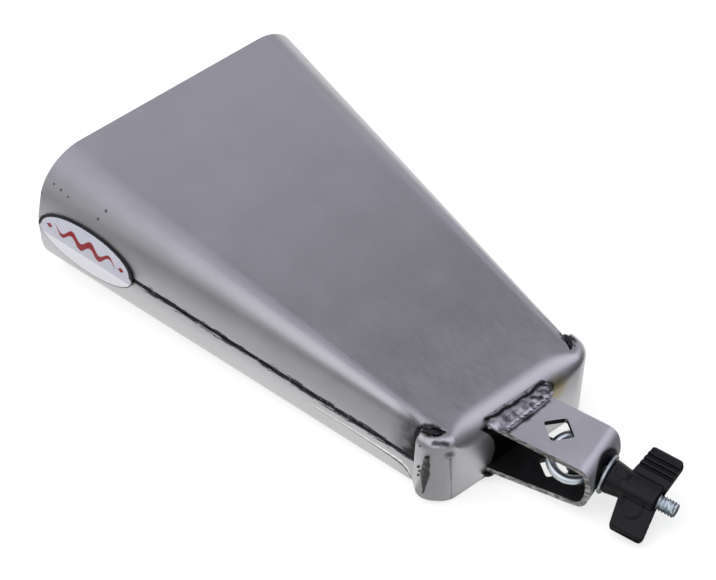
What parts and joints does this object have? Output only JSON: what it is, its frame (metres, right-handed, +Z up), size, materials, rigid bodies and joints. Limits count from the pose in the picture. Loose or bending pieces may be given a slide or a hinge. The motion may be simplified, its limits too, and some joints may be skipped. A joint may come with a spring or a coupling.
{
  "type": "bongo cowbell",
  "caption": "Tapered sheet-steel cowbell with folded, welded closed end and an angled strap clamp: eye bolt, washer and black wing nut grip a stand rod in diamond holes.",
  "frame": {"origin": "middle of the rear half's flat face, on which the bell lies", "axes": "+X from the mouth to the clamp, +Y to the far side of the picture, +Z up through the front half"},
  "size_m": [0.2711, 0.1371, 0.0607],
  "materials": {
    "brushed_steel_shell": "satin, fine lengthwise brushing",
    "brushed_steel_strap": "satin",
    "weld_bead": "rippled weld metal, partly oxidised",
    "zinc_plate": "bright zinc plate",
    "black_nylon": "moulded, fine grain",
    "plated_insert": "plain",
    "enamel_badge": "white enamel"
  },
  "bodies": {
    "bell": {"front_shell": "brushed_steel_shell", "rear_shell": "brushed_steel_shell", "seam_weld_near": "weld_bead", "seam_weld_far": "weld_bead", "corner_weld_near": "weld_bead", "corner_weld_far": "weld_bead", "end_weld": "weld_bead", "bracket": "brushed_steel_strap", "bracket_weld_upper": "weld_bead", "bracket_weld_lower": "weld_bead", "washer": "zinc_plate", "badge": "enamel_badge"},
    "nut": {"wing_nut": "black_nylon", "wing_nut_insert": "plated_insert"},
    "eye": {"eye_bolt": "zinc_plate"}
  },
  "joints": [
    {"name": "wing_nut_turn", "type": "hinge", "parent": "bell", "child": "nut", "pos_m": [0.13972, 0.01026, 0.01515], "axis": [0.9342, 0.312, -0.1729], "range_deg": [0, 2120]},
    {"name": "eye_bolt_slide", "type": "slide", "parent": "bell", "child": "eye", "axis": [0.9342, 0.312, -0.1729], "range_m": [-0.0075, 0]}
  ],
  "couplings": [
    {"joint": "eye_bolt_slide", "follows": "wing_nut_turn", "m_per_rad": -0.00020213}
  ]
}
